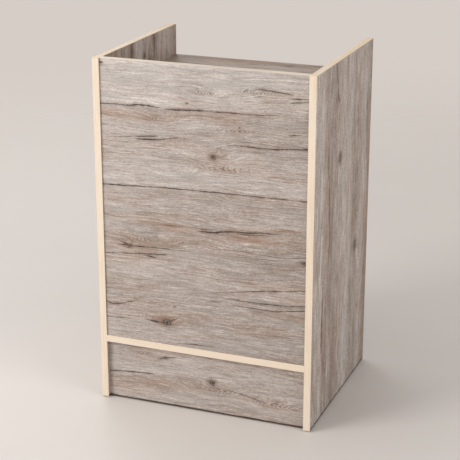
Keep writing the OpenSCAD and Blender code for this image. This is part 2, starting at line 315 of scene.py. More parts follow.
FRONT = {
    "cracks": [
        # the seam under the top plank, broken once
        [(-286, 845, 0.8), (-241, 846.5, 0.9), (-200, 847, 1.3), (-163, 850.5, 1.6), (-136, 849, 1.3),
         (-111, 848, 0)],
        [(-105, 845, 0), (-73, 846, 1.6), (-46, 847.5, 1.4), (4, 850, 0.9), (124, 851.5, 0.7),
         (239, 859, 0)],
        # the splintered patch at the upper right
        [(136, 917, 0), (154, 919, 1), (199, 915.5, 1), (229, 913, 0.9), (248, 910.5, 0)],
        [(229, 900.5, 0), (259, 902.5, 1), (286, 904.5, 0.8)],
        [(234, 889, 0), (251, 892.5, 0.9), (286, 897, 0.8)],
        [(110, 908, 0), (119, 913, 0.7), (126, 917, 0)],
        [(138, 897, 0), (148, 899, 0.6), (166, 901, 0)],
        # the second seam, in three broken lengths
        [(-255, 757, 0), (-211, 762, 0.6), (-136, 770.5, 1.1), (-121, 772, 0)],
        [(-196, 757.5, 0), (-166, 759, 1.3), (-121, 762.5, 1.6), (-100, 767, 1), (-66, 772, 0.9),
         (-33, 772.5, 0)],
        [(60, 767, 0), (114, 768.5, 0.9), (179, 767, 0.9), (224, 771, 1.5), (251, 773, 1.5),
         (286, 776.5, 1.1)],
        [(229, 807, 0), (245, 809, 0.9), (271, 812, 0)],
        # the middle seam, right across
        [(-286, 625, 1), (-231, 627, 1.2), (-178, 630, 1), (-66, 635, 0.9), (54, 637.5, 1.1),
         (214, 639, 0.8), (286, 640, 0.7)],
        # the dark drying crack in the middle
        [(-22, 524, 0), (14, 526, 1.8), (34, 527, 2.4), (54, 532, 1.3), (84, 535, 2), (129, 538.5, 1.4),
         (164, 542, 1.3), (214, 543.5, 0)],
        [(-30, 530, 0), (10, 532, 0.9), (46, 536, 0)],
        [(92, 530, 0), (140, 534, 1.1), (190, 537, 0)],
        # either side of the star knot
        [(-250, 461, 0), (-210, 460.5, 1.4), (-166, 462, 1), (-100, 464, 0.5), (-31, 465, 0)],
        [(-221, 452, 0), (-212, 458, 1.4), (-206, 466, 1.2), (-200, 474, 0)],
        [(-240, 470, 0), (-222, 465, 1), (-208, 460, 0)],
        [(-178, 440, 0), (-148, 437, 1.3), (-128, 436, 0)],
        [(-286, 431, 0.5), (-221, 437, 0.8), (-178, 442, 1.3), (-141, 445, 1.3), (-98, 448, 0)],
        # the three rising lines at the lower right
        [(14, 356, 0), (99, 370, 0.6), (154, 380, 0.8), (214, 387.5, 0.8), (286, 400, 0.5)],
        [(59, 348.5, 0), (114, 346, 0.9), (214, 348, 0.8), (286, 357, 0.7)],
        [(64, 323.5, 0), (104, 330, 0.6), (189, 329, 0.7), (229, 334, 0.8), (286, 344, 0.8)],
        # lower left, the streak through the big knot, and the foot
        [(-286, 292.5, 0.8), (-268, 286.5, 1.3), (-236, 290, 0.7), (-223, 296, 0.9), (-193, 302.5, 0)],
        [(-172, 254, 0), (-140, 251, 2), (-112, 251, 2.4), (-92, 260, 1.4), (-70, 270, 0)],
        [(-286, 245, 0.5), (-240, 247, 0.6), (-196, 248, 0)],
        [(-76, 195, 0), (-21, 200, 0.8), (39, 202.5, 0)],
        # faint brown lines: over the dark crack, through the chevrons, and by the big knot
        [(-171, 525, 0), (-86, 531, 0.4), (-26, 533.5, 0)],
        [(0, 474, 0), (90, 484, 0.35), (190, 481, 0.4), (286, 489, 0.3)],
        [(60, 466, 0), (150, 470, 0.35), (240, 473, 0)],
        [(14, 332, 0), (38, 334.5, 0.5), (59, 334, 0)],
        [(-238, 254, 0), (-208, 257.5, 0.5), (-178, 260, 0)],
    ],
    "knots": [
        (30, 731, 7, 5.5), (-106, 253, 12, 8), (-210, 460, 5, 4), (-41, 866, 2.6, 1.4),
        (102, 815, 2.2, 1.2), (-282, 953, 4, 2), (-82, 302, 2.2, 1.4), (280, 474, 8, 4),
    ],
    "hills": [
        (30, 725, 60, 22, 16), (-108, 252, 46, 16, 15), (-210, 461, 40, 13, 12), (-135, 481, 70, 17, 26),
        (-121, 822, 60, 16, 20), (20, 893, 70, 14, 16), (150, 485, 130, 20, 16), (-20, 700, 90, 12, -12),
    ],
    "zones": [
        (-180, 820, 120, 22, 0.8), (80, 833, 60, 9, 1.0), (125, 522, 80, 11, 1.9), (-90, 526, 90, 10, 1.3),
        (-200, 462, 90, 24, 0.7), (-110, 262, 80, 22, 0.7), (60, 700, 90, 20, 0.4),
        (-60, 420, 120, 20, 0.4), (180, 330, 110, 18, 0.5), (-60, 940, 300, 40, -0.45),
        (60, 665, 260, 24, -0.3), (60, 215, 260, 24, -0.4),
    ],
    "arcs": [
        (0, 897, -42, 9, 9), (-134, 818, -30, 15, 8), (52, 703, 80, 11, 17), (-163, 483, -66, 10, 12),
        (-66, 487, 30, 8, 8), (150, 909, 46, 8, 9), (-150, 262, 40, 9, 10), (90, 806, 60, 8, 12),
    ],
    "tone": [
        (190, 0.01), (260, -0.02), (310, -0.04), (365, 0.0), (420, 0.0), (460, -0.05), (505, -0.04),
        (560, 0.05), (618, -0.03), (640, 0.08), (680, 0.1), (730, 0.04), (765, 0.0), (800, 0.02),
        (840, 0.0), (862, 0.13), (930, 0.17), (965, 0.16),
    ],
    "slope": 0.018,
    # painted shade: darker towards the right, where the key lamp's light falls off
    "fade": -0.0002,
}

KICK = {
    "cracks": [
        [(-286, 78, 0.7), (-250, 82.5, 1), (-200, 86, 1.4), (-170, 88, 1.2), (-146, 88.5, 0)],
        [(-148, 134, 0), (-120, 141, 1.3), (-106, 146, 0.9), (-60, 151, 0)],
        [(50, 79, 0), (95, 74, 0.5), (150, 63, 0.6), (186, 57, 0)],
        [(246, 55, 0), (262, 51, 0.6), (276, 50, 0)],
    ],
    "knots": [(22, 91, 8, 7), (-116, 143, 5, 2.6)],
    "arcs": [(206, 56, 66, 15, 14), (-116, 50, -50, 8, 9), (-176, 148, -42, 7, 9), (46, 72, -50, 16, 15)],
    "hills": [(22, 78, 42, 24, 22), (-116, 143, 50, 12, 9), (-30, 64, 50, 14, 14), (212, 54, 56, 15, 17)],
    "zones": [
        (-150, 62, 130, 16, 0.6), (120, 66, 90, 14, 0.8), (215, 54, 60, 14, 0.6), (240, 160, 60, 10, 0.5),
    ],
    "tone": [(3, 0.03), (45, 0.05), (62, 0.0), (92, 0.08), (130, 0.1), (150, 0.03), (171, 0.05)],
    "slope": 0.02,
}

# The sides run their grain upwards, so a place here is a height and a depth
RIGHT_SIDE = {
    "cracks": [
        [(425, -121, 0), (470, -116, 1.6), (500, -113, 2.4), (545, -119, 1.2), (600, -125, 2.6),
         (648, -128, 1.4), (700, -137, 2), (745, -141, 0)],
        [(188, -168, 0), (215, -168, 2), (260, -167, 2.6), (290, -169, 1.5), (320, -168, 2.2),
         (352, -171, 0)],
        [(850, -54, 0), (868, -62, 2.8), (890, -68, 1.4), (920, -76, 2.8), (940, -82, 1.2),
         (964, -90, 2.2)],
        [(690, -52, 0), (697, -42, 2.2), (704, -30, 2), (712, -20, 0)],
        [(770, 208, 0), (785, 212, 1.8), (802, 208, 0)],
        [(682, -38, 0), (701, -37, 4), (722, -38, 0)],
        [(382, 126, 0), (402, 127, 4), (424, 126, 0)],
    ],
    "knots": [(701, -37, 11, 10), (402, 127, 13, 12), (762, 123, 5, 3), (204, 170, 5, 3)],
    "arcs": [
        (150, -62, -120, 16, 20), (800, -86, 70, 10, 11), (330, -120, -90, 9, 14), (520, 110, 90, 14, 18),
    ],
    "hills": [
        (701, -37, 60, 26, 24), (402, 127, 60, 26, 26), (830, -85, 90, 20, 24), (150, -60, 120, 26, 24),
    ],
    "zones": [
        (650, -160, 300, 16, 0.7), (270, -170, 110, 16, 1.0), (560, -122, 190, 16, 0.8),
        (860, -80, 130, 24, 1.0), (905, -74, 80, 9, 1.2), (230, -150, 170, 20, 0.7),
        (500, 120, 300, 26, 0.8), (480, 236, 480, 16, 1.2), (120, -40, 150, 30, 0.8),
        (880, 20, 100, 16, 0.7), (300, -10, 130, 16, 0.6),
    ],
    "tone": [
        (-254, 0.08), (-215, 0.04), (-190, 0.16), (-160, -0.04), (-120, -0.07), (-85, -0.11), (-40, 0.0),
        (0, 0.12), (45, 0.16), (80, 0.0), (125, -0.1), (160, 0.02), (190, 0.07), (215, -0.1), (254, -0.24),
    ],
    # painted light: a little lighter towards the top, where more light falls
    "fade": 0.00003,
    "slope": 0.0,
    "face": 1,
    "contrast": 1.7,
    "mottle": 0.9,
    "warmth": 0.08,
}

# What is drawn on the left side's inner face, above the deck
LEFT_SIDE = {
    "cracks": [
        [(878, -45, 0), (905, -48, 1.2), (928, -50, 2.6), (950, -51, 2.2), (965, -52, 1)],
        [(884, 102, 0), (920, 100, 1.2), (944, 97, 2.8), (958, 96, 1.8), (965, 96, 1)],
    ],
    "knots": [(942, -50, 9, 4.5), (952, 97, 9, 5)],
    "zones": [(920, -160, 200, 60, 0.9), (900, 120, 120, 50, 0.6)],
    "tone": [
        (-254, -0.1), (-215, -0.05), (-165, -0.16), (-128, 0.06), (-112, -0.12), (-85, 0.0), (-52, -0.24),
        (-18, 0.14), (5, 0.16), (38, -0.04), (62, 0.18), (95, -0.26), (136, 0.2), (185, 0.06), (215, 0.0),
        (254, 0.08),
    ],
    "slope": 0.0,
    "face": 1,
    "contrast": 1.2,
    "warmth": 0.12,
}

# What is drawn on the register deck, towards its back edge
DECK = {
    "cracks": [
        [(180, 168, 0), (205, 170, 1.6), (228, 169, 0)],
        [(-60, 196, 0), (-20, 199, 1.0), (30, 198, 0)],
    ],
    "zones": [(-40, 236, 190, 12, 1.6), (210, 170, 60, 14, 1.0), (-240, 60, 100, 60, 0.6)],
    "tone": [
        (-254, -0.05), (27, -0.03), (60, 0.02), (120, 0.0), (170, -0.05), (205, -0.08), (234, -0.25),
        (254, -0.05),
    ],
    "slope": 0.0,
    "warmth": 0.3,
}


def wandering(seed, low, high, cracks=5, knots=3, drawn=None):
    """Grain for a board that the camera hardly sees: cracks that drift along it, knots, hills and zones.

    A crack starts anywhere, runs 60 to 260 mm and climbs by small steps; its half width swells and fades as a
    sine. A knot's hill and arcs grow with it. Cracks, knots and zones that are drawn are added, and anything
    else that is drawn stands in for the wandering kind.
    """
    rng = np.random.default_rng(seed)
    (u0, v0), (u1, v1) = low, high
    shortest, longest, points, edge, end = 60, 260, 6, 20, 30
    look = {key: [] for key in ("cracks", "knots", "hills", "zones", "arcs", "tone")}
    look["slope"] = rng.uniform(-0.01, 0.02)
    for _ in range(cracks):
        along = rng.uniform(u0, u1 - shortest) + np.linspace(0, rng.uniform(shortest, longest), points)
        across = rng.uniform(v0 + edge, v1 - edge) + np.cumsum(rng.normal(0.8, 2.2, points))
        width = rng.uniform(0.7, 1.7) * np.sin(np.linspace(0.25, math.pi - 0.2, points))
        look["cracks"].append([tuple(map(float, point)) for point in zip(along, across, width)])
    for _ in range(knots):
        u, v, size = rng.uniform(u0 + end, u1 - end), rng.uniform(v0 + edge, v1 - edge), rng.uniform(3, 9)
        look["knots"].append((u, v, size, size * 0.8))
        look["hills"].append((u, v, 7 * size, 2.4 * size, 2.2 * size))
        look["arcs"].append((u + 9 * size, v - size, 8 * size, 1.6 * size, rng.uniform(9, 15)))
    for _ in range(knots + 2):
        u, v = rng.uniform(u0, u1), rng.uniform(v0, v1)
        look["hills"].append((u, v, rng.uniform(50, 110), rng.uniform(12, 22), rng.uniform(12, 24)))
        look["zones"].append((u, v, rng.uniform(80, 200), rng.uniform(8, 24), rng.uniform(0.5, 1.1)))
    for v in np.linspace(v0, v1, 9):
        look["tone"].append((float(v), float(rng.uniform(-0.07, 0.07))))
    for key, drawing in (drawn or {}).items():
        look[key] = look[key] + drawing if key in ("cracks", "knots", "zones") else drawing
    return look


WIDEST = 4.0  # the widest half line that a route may have, in millimetres
HAIR = 0.01  # half width of a line past its ends, too fine to show


def smallest(tree, values):
    """The smallest of several values."""
    least, *others = values
    for value in others:
        least = add(tree, "ShaderNodeMath", {0: least, 1: value}, operation="MINIMUM")
    return least


def nearest_line(tree, u, v, routes):
    """How far a point is from the nearest route, in its half widths: |v - route(u)| / half_width(u)."""
    ratios = []
    for route in routes:
        along, across, halves = zip(*route)
        low, high = min(across) - 1, max(across) + 1
        places = [(place - along[0]) / (along[-1] - along[0]) for place in along]
        x = add(tree, "ShaderNodeMapRange", {"Value": u, "From Min": along[0], "From Max": along[-1]})
        heights = [(height - low) / (high - low) for height in across]
        path = add(tree, "ShaderNodeFloatCurve", {"Value": x}, list(zip(places, heights)))
        widths = [half / WIDEST for half in halves]
        half = add(tree, "ShaderNodeFloatCurve", {"Value": x}, list(zip(places, widths)))
        height = add(tree, "ShaderNodeMath", {0: path, 1: high - low, 2: low}, operation="MULTIPLY_ADD")
        half = add(tree, "ShaderNodeMath", {0: half, 1: WIDEST, 2: HAIR}, operation="MULTIPLY_ADD")
        gap = add(tree, "ShaderNodeMath", {0: v, 1: height}, operation="SUBTRACT")
        gap = add(tree, "ShaderNodeMath", {0: gap}, operation="ABSOLUTE")
        ratios.append(add(tree, "ShaderNodeMath", {0: gap, 1: half}, operation="DIVIDE"))
    return smallest(tree, ratios)


def around(tree, place, u, v, a, b):
    """The face's coordinates moved to (u, v) and divided by the half axes a and b."""
    location = (-u / a, -v / b, 0)
    scale = (1 / a, 1 / b, 0)
    return add(tree, "ShaderNodeMapping", {"Vector": place, "Location": location, "Scale": scale})


def nearest_knot(tree, place, knots):
    """The smallest elliptic distance to a knot: 1 on a knot's rim."""
    offsets = [around(tree, place, *knot) for knot in knots]
    distances = [add(tree, "ShaderNodeVectorMath", {0: offset}, operation="LENGTH") for offset in offsets]
    return smallest(tree, [distance.outputs["Value"] for distance in distances])


def bell(tree, offset):
    """exp(-distance squared): 1 at the middle of a mark and about a third on its rim."""
    square = add(tree, "ShaderNodeVectorMath", {0: offset, 1: offset}, operation="DOT_PRODUCT")
    fall = add(tree, "ShaderNodeMath", {0: square.outputs["Value"], 1: -1.0}, operation="MULTIPLY")
    return add(tree, "ShaderNodeMath", {0: fall}, operation="EXPONENT")


def mounds(tree, place, marks, total):
    """Adds smooth mounds to a value: total + sum of height * exp(-distance squared)."""
    for u, v, a, b, height in marks:
        fall = bell(tree, around(tree, place, u, v, a, b))
        total = add(tree, "ShaderNodeMath", {0: fall, 1: height, 2: total}, operation="MULTIPLY_ADD")
    return total


def cathedrals(tree, place, marks, jitter):
    """Cathedral grain: parabolas nested along the grain, each mark fading out from its centre.

    With x and y the distances along and across in half axes, strength = exp(-x * x - y * y) * cos(phase)
    where that is positive, and phase = 2 pi * (half length * x - 3 * half width * y * y) / pitch + jitter.
    """
    total = 0.0
    for u, v, a, b, pitch in marks:
        offset = around(tree, place, u, v, a, b)
        parts = add(tree, "ShaderNodeSeparateXYZ", {0: offset}).outputs
        arm = add(tree, "ShaderNodeMath", {0: parts["Y"], 1: parts["Y"]}, operation="MULTIPLY")
        along, across = 2 * math.pi * abs(a) / pitch, 2 * math.pi * b / pitch
        phase = add(tree, "ShaderNodeMath", {0: parts["X"], 1: along, 2: jitter}, operation="MULTIPLY_ADD")
        phase = add(tree, "ShaderNodeMath", {0: arm, 1: -3 * across, 2: phase}, operation="MULTIPLY_ADD")
        wave = add(tree, "ShaderNodeMath", {0: phase}, operation="COSINE")
        wave = add(tree, "ShaderNodeMapRange", {"Value": wave, "From Min": 0.0, "From Max": 0.85})
        fall = bell(tree, offset)
        total = add(tree, "ShaderNodeMath", {0: fall, 1: wave, 2: total}, operation="MULTIPLY_ADD")
    return total


def stretched(tree, place, sizes, detail=3.0, rough=0.55, shift=0.0):
    """Noise with features of the given sizes along the three axes. A shift sets it apart from other noise."""
    scale = [1 / size for size in sizes]
    spread = add(tree, "ShaderNodeMapping", {"Vector": place, "Location": [shift] * 3, "Scale": scale})
    return add(
        tree, "ShaderNodeTexNoise", {"Vector": spread, "Scale": 1.0, "Detail": detail, "Roughness": rough}
    )


def weigh(tree, value, weight, total):
    """total + weight * (value - 0.5)."""
    part = add(tree, "ShaderNodeMath", {0: value, 1: 0.5}, operation="SUBTRACT")
    return add(tree, "ShaderNodeMath", {0: part, 1: weight, 2: total}, operation="MULTIPLY_ADD")


def coat(tree, shade, paint, value, none, full, most=1.0):
    """Lays paint over a shade: no cover where the value is none, and as much as most where it is full."""
    cover = add(
        tree, "ShaderNodeMapRange", {"Value": value, "From Min": none, "From Max": full, "To Max": most}
    )
    return add(tree, "ShaderNodeMix", {"Factor": cover, "A": shade, "B": paint}, data_type="RGBA")


def on_board(tree, source, node, axes, look, seed):
    """Where a point of a board is, in millimetres, as the coordinates that the print's patterns are drawn on.

    The plain face turns the drawn one half round, so that a board's two faces differ, and depth sets faces
    and boards apart in the noise. Height of the grain = across - slope * along + drift + hills, so that its
    level lines run along the board, wander, and close into eyes round the knots. Flat lies on the face, grain
    follows the level lines, and thread goes halfway with them, for what is too fine to bend as far.
    """
    along, across, through = axes
    place = source["Object"]
    solid = add(tree, "ShaderNodeVectorMath", {"Vector": place, "Scale": 1 / MM}, operation="SCALE")
    parts = add(tree, "ShaderNodeSeparateXYZ", {0: solid}).outputs
    side = "GREATER_THAN" if look["face"] < 0 else "LESS_THAN"
    plain = add(tree, "ShaderNodeMath", {0: parts[through], 1: middle(node, through) / MM}, operation=side)
    places = []
    for axis in (along, across):
        ends = 2 * middle(node, axis) / MM
        turned = add(tree, "ShaderNodeMath", {0: ends, 1: parts[axis]}, operation="SUBTRACT")
        places.append(add(tree, "ShaderNodeMix", {"Factor": plain, "A": parts[axis], "B": turned}))
    u, v = places
    depth = add(tree, "ShaderNodeMath", {0: plain, 1: 40.0, 2: 7.3 * seed}, operation="MULTIPLY_ADD")
    flat = add(tree, "ShaderNodeCombineXYZ", {0: u, 1: v, 2: depth})
    height = add(tree, "ShaderNodeMath", {0: u, 1: -look["slope"], 2: v}, operation="MULTIPLY_ADD")
    # It drifts by up to 17 mm over long stretches and 3.5 mm over short ones
    height = weigh(tree, stretched(tree, flat, (260, 80, 1), 2.0), 34.0, height)
    height = weigh(tree, stretched(tree, flat, (62, 17, 1), 2.0), 7.0, height)
    height = mounds(tree, flat, look["hills"], height)
    halfway = add(tree, "ShaderNodeMix", {"Factor": 0.5, "A": v, "B": height})
    return SimpleNamespace(
        solid=solid,
        z=parts["Z"],
        u=u,
        v=v,
        height=height,
        flat=flat,
        grain=add(tree, "ShaderNodeCombineXYZ", {0: u, 1: height, 2: depth}),
        thread=add(tree, "ShaderNodeCombineXYZ", {0: u, 1: halfway, 2: depth}),
    )


# How much each layer of the print moves its lightness
WEIGHTS = {
    "bands": 0.32,
    "stripes": 0.24,
    "streaks": 0.62,
    "fine": 0.76,
    "fibres": 0.56,
    "flecks": 0.86,
    "clouds": 0.26,
}


def print_layers(tree, board):
    """The print's noise, each layer with the length and width of what it stands for, in millimetres.

    The third size is the depth's, which only sets faces and boards apart.
    """
    values = settings("laminate")
    plank, streak, fibre = values.plank / MM, values.streak / MM, values.fibre / MM
    return {
        "bands": stretched(tree, board.grain, (9 * plank, plank, 1), 3.0, 0.6, 5.0),
        "stripes": stretched(tree, board.grain, (380, 22, 1), 3.0, 0.6, 31.0),
        "streaks": stretched(tree, board.grain, (24 * streak, streak, 1), 6.0, 0.7, 11.0),
        "fine": stretched(tree, board.thread, (90, 3.4, 1), 4.0, 0.65, 23.0),
        "fibres": stretched(tree, board.thread, (24 * fibre, fibre, 1), 3.0, 0.6, 37.0),
        "flecks": stretched(tree, board.thread, (6, 2.4, 1), 3.0, 0.65, 41.0),
        "clouds": stretched(tree, board.flat, (60, 26, 1), 4.0, 0.65, 47.0),
        "mottle": stretched(tree, board.grain, (60, 8, 1), 4.0, 0.65, 113.0),
        "warmth": stretched(tree, board.grain, (240, 34, 1), 3.0, 0.6, 51.0),
        "rings": stretched(tree, board.grain, (230, 8, 1), 2.0, 0.5, 61.0),
        "patches": stretched(tree, board.grain, (130, 22, 1), 2.0, 0.5, 67.0),
        "dashes": stretched(tree, board.grain, (34, 2.4, 1), 2.0, 0.5, 71.0),
        "wander": stretched(tree, board.flat, (42, 60, 1), 7.0, 0.62, 83.0),
        "breaks": stretched(tree, board.flat, (24, 60, 1), 4.0, 0.65, 97.0),
        "jitter": stretched(tree, board.flat, (34, 11, 1), 5.0, 0.6, 107.0),
        "fray": stretched(tree, board.thread, (16, 1.5, 1), 4.0, 0.7, 109.0),
    }


def limed_grain(tree, board, layers, look):
    """Greige oak with limed lines: lightness by the tone across the board and the layers, through a ramp."""
    values = settings("laminate")
    low, high = look["tone"][0][0], look["tone"][-1][0]
    tone = [((place - low) / (high - low), 0.5 + shift) for place, shift in look["tone"]]
    x = add(tree, "ShaderNodeMapRange", {"Value": board.height, "From Min": low, "From Max": high})
    light = add(tree, "ShaderNodeFloatCurve", {"Value": x}, tone)
    # Painted light: lighter or darker along the grain by the fade, as the lamps' light falls off across the
    # board
    light = add(tree, "ShaderNodeMath", {0: board.u, 1: look["fade"], 2: light}, operation="MULTIPLY_ADD")
    light = weigh(tree, layers["mottle"], look["mottle"], light)
    for name, weight in WEIGHTS.items():
        light = weigh(tree, layers[name], weight * look["contrast"], light)
    colours = (values.pore, values.shade, values.body, values.pale, values.chalk)
    return add(tree, "ShaderNodeValToRGB", {"Fac": light}, list(zip((0.0, 0.26, 0.5, 0.72, 0.98), colours)))


def growth_lines(tree, board, layers, look, shade):
    """Brown zones, grey ones where the oak has weathered, and the brown lines of its growth.

    The lines are level lines of a stretched noise, |noise - 0.5| near 0, in patches and in the brown zones,
    and the drawn arcs.
    """
    values = settings("laminate")
    warmth = weigh(tree, layers["warmth"], 1.7, look["warmth"])
    warmth = mounds(tree, board.flat, [(*place, strength / 2) for *place, strength in look["zones"]], warmth)
    warmth = weigh(tree, layers["streaks"], 1.8, warmth)
    shade = coat(tree, shade, values.tan, warmth, 0.0, 1.0, 0.75)
    shade = coat(tree, shade, values.grey, warmth, 0.0, -0.35, 0.45)

    rings = add(tree, "ShaderNodeMath", {0: layers["rings"], 1: 0.5}, operation="SUBTRACT")
    rings = add(tree, "ShaderNodeMath", {0: rings}, operation="ABSOLUTE")
    rings = add(tree, "ShaderNodeMapRange", {"Value": rings, "From Min": 0.06, "From Max": 0.012})
    warmer = add(tree, "ShaderNodeMath", {0: warmth, 1: 0.35}, operation="ADD")
    patch = weigh(tree, layers["patches"], 3.0, warmer)
    patch = add(tree, "ShaderNodeMapRange", {"Value": patch, "From Min": 0.2, "From Max": 1.0})
    rings = add(tree, "ShaderNodeMath", {0: rings, 1: patch}, operation="MULTIPLY")
    shade = coat(tree, shade, values.line, rings, 0.0, 1.0, 0.6)
    arcs = cathedrals(tree, board.flat, look["arcs"], weigh(tree, layers["jitter"], 22.0, 0.0))
    return coat(tree, shade, values.line, arcs, 0.0, 1 / 0.95)


def cracks(tree, board, layers, routes):
    """Distance to the nearest crack, in its half widths.

    A crack wanders by up to 3 mm, narrows and widens between 0.3 and 1.6 of its width, and frays at its
    edges.
    """
    wandered = weigh(tree, layers["wander"], 6.0, board.v)
    line = nearest_line(tree, board.u, wandered, routes)
    width = add(
        tree,
        "ShaderNodeMapRange",
        {"Value": layers["breaks"], "From Min": 0.32, "From Max": 0.68, "To Min": 0.3, "To Max": 1.6},
    )
    line = add(tree, "ShaderNodeMath", {0: line, 1: width}, operation="DIVIDE")
    return weigh(tree, layers["fray"], 3.4, line)


def knots(tree, board, places, shade):
    """Knots: dark rings inside a rough rim, and a brown glow round it."""
    values = settings("laminate")
    # Ripples about 7 mm across roughen the rings
    ripple = add(
        tree, "ShaderNodeTexNoise", {"Vector": board.flat, "Scale": 0.14, "Detail": 3.0, "Roughness": 0.55}
    )
    ring = weigh(tree, ripple, 1.7, nearest_knot(tree, board.flat, places))
    colours = (values.crack, values.crack, values.knot, values.shade, values.crack, values.knot)
    stops = list(zip((0.0, 0.26, 0.42, 0.6, 0.8, 1.0), colours))
    disc = add(tree, "ShaderNodeValToRGB", {"Fac": ring}, stops)
    shade = coat(tree, shade, values.line, ring, 3.0, 1.0, 0.7)
    return coat(tree, shade, disc, ring, 1.3, 0.8, 0.95)


def laminate(name, node, axes, look, seed):
    """Melamine-faced particle board with a weathered oak print, hot-pressed against a grained plate.

    To the eye that is a greige print with brown zones, fine limed lines, dark drying cracks and ringed knots,
    under a soft even sheen, with the fine grain pressed in a tenth of a millimetre deep. Bores and bare edges
    show the board's raw core: pale chips in darker glue, quite matt. axes are the numbers of the axes along
    the grain, across it and through the board.
    """
    values, core = settings("laminate"), settings("chipboard")
    look = {**PLAIN, **look}
    material, tree, shader = finish(name)
    source = add(tree, "ShaderNodeTexCoord").outputs
    board = on_board(tree, source, node, axes, look, seed)
    layers = print_layers(tree, board)
    shade = limed_grain(tree, board, layers, look)
    shade = growth_lines(tree, board, layers, look, shade)

    # Open pores are short dark dashes, and others still hold lime
    shade = coat(tree, shade, values.pore, layers["dashes"], 0.6, 0.72, 0.5)
    shade = coat(tree, shade, values.chalk, layers["dashes"], 0.4, 0.28, 0.5)
    line = cracks(tree, board, layers, look["cracks"])
    shade = coat(tree, shade, values.line, line, 6.0, 1.0, 0.42)
    shade = coat(tree, shade, values.crack, line, 1.4, 0.6, 0.97)
    shade = knots(tree, board, look["knots"], shade)
    # Painted shade: a dark line along the lowest few millimetres of a board that reaches the floor, standing
    # in for the shadow in the gap beneath it
    foot = weigh(tree, layers["clouds"], 4.0, board.z)
    shade = coat(tree, shade, values.crack, foot, 8.5, 6.5, 0.92)

    # The raw core shows wherever the surface doesn't lie along the board
    per_mm = MM / core.grain
    chips = add(tree, "ShaderNodeTexVoronoi", {"Vector": board.solid, "Scale": per_mm, "Randomness": 1.0})
    pick = add(tree, "ShaderNodeSeparateColor", {0: chips.outputs["Color"]})
    raw = add(tree, "ShaderNodeMix", {"Factor": pick, "A": core.chip, "B": core.resin}, data_type="RGBA")
    lies = add(tree, "ShaderNodeSeparateXYZ", {0: source["Normal"]}).outputs[axes[2]]
    lies = add(tree, "ShaderNodeMath", {0: lies}, operation="ABSOLUTE")
    faced = add(tree, "ShaderNodeMath", {0: lies, 1: 0.5}, operation="GREATER_THAN")
    shade = add(tree, "ShaderNodeMix", {"Factor": faced, "A": raw, "B": shade}, data_type="RGBA")

    # In the pressed grain the dark lines lie lower and the cracks lowest
    relief = add(tree, "ShaderNodeMath", {0: layers["fine"], 1: layers["fibres"]}, operation="ADD")
    sunk = add(
        tree, "ShaderNodeMapRange", {"Value": line, "From Min": 1.4, "From Max": 0.6, "To Max": -1.455}
    )
    relief = add(tree, "ShaderNodeMath", {0: relief, 1: sunk}, operation="ADD")
    relief = add(tree, "ShaderNodeMix", {"Factor": faced, "A": chips.outputs["Distance"], "B": relief})
    bump = add(tree, "ShaderNodeBump", {"Height": relief, "Distance": values.emboss, "Strength": 0.6})
    sheen = weigh(tree, layers["fine"], 0.24, values.roughness)
    sheen = add(tree, "ShaderNodeMix", {"Factor": faced, "A": 0.9, "B": sheen})
    feed(shader, {"Base Color": shade, "Roughness": sheen, "Normal": bump})
    dress(material, node)


def maple_band(name, along, nodes, cast=None, cover=0.0):
    """Extruded plastic edge band printed as pale maple: nearly plain cream, even and softly matt.

    Faint lines run along it, where the print and the extruder's lips have drawn it. along is the number of
    the axis that it follows, cast a colour that tints it in patches, and cover the most that the cast covers.
    """
    values = settings("band")
    width = values.line_width
    material, tree, shader = finish(name)
    place = add(tree, "ShaderNodeTexCoord").outputs["Object"]
    noises = []
    for longer, wider, detail, rough in ((45, 1, 3.0, 0.6), (120, 14, 2.0, 0.5)):
        sizes = [wider * width] * 3
        sizes[along] = longer * width
        noises.append(stretched(tree, place, sizes, detail, rough))
    lines, cloud = noises
    amount = weigh(tree, cloud, 0.5, lines)
    shade = coat(tree, values.face, values.line, amount, 0.45, 0.8, 0.75)
    if cast is not None:
        shade = coat(tree, shade, cast, cloud, 0.3, 0.6, cover)
    gloss = weigh(tree, lines, 0.2, values.roughness)
    bump = add(tree, "ShaderNodeBump", {"Height": lines, "Distance": 0.03 * MM, "Strength": 0.5})
    feed(shader, {"Base Color": shade, "Roughness": gloss, "Specular IOR Level": 0.25, "Normal": bump})
    dress(material, *nodes)


def fitting_finish(name, base, metallic, roughness, grit, depth):
    """Metal or nylon with the fine grit of its making: plating and tumbling for metal, mould grain for nylon.

    grit is the width of a grain of the surface and depth its height. The grains, and clouds ten grains wide,
    darken the base colour by up to a quarter, and the grains shift the roughness.
    """
    material, tree, shader = finish(name)
    place = add(tree, "ShaderNodeTexCoord").outputs["Object"]
    speck = add(tree, "ShaderNodeTexNoise", {"Vector": place, "Scale": 1 / grit, "Detail": 3.0})
    cloud = add(tree, "ShaderNodeTexNoise", {"Vector": place, "Scale": 0.1 / grit, "Detail": 2.0})
    amount = weigh(tree, cloud, 0.8, weigh(tree, speck, 0.5, 0.35))
    darker = [0.72 * c for c in base[:3]] + [1.0]
    shade = add(tree, "ShaderNodeMix", {"Factor": amount, "A": base, "B": darker}, data_type="RGBA")
    gloss = weigh(tree, speck, 0.3, roughness)
    bump = add(tree, "ShaderNodeBump", {"Height": speck, "Distance": depth, "Strength": 0.5})
    feed(shader, {"Base Color": shade, "Metallic": metallic, "Roughness": gloss, "Normal": bump})
    return material


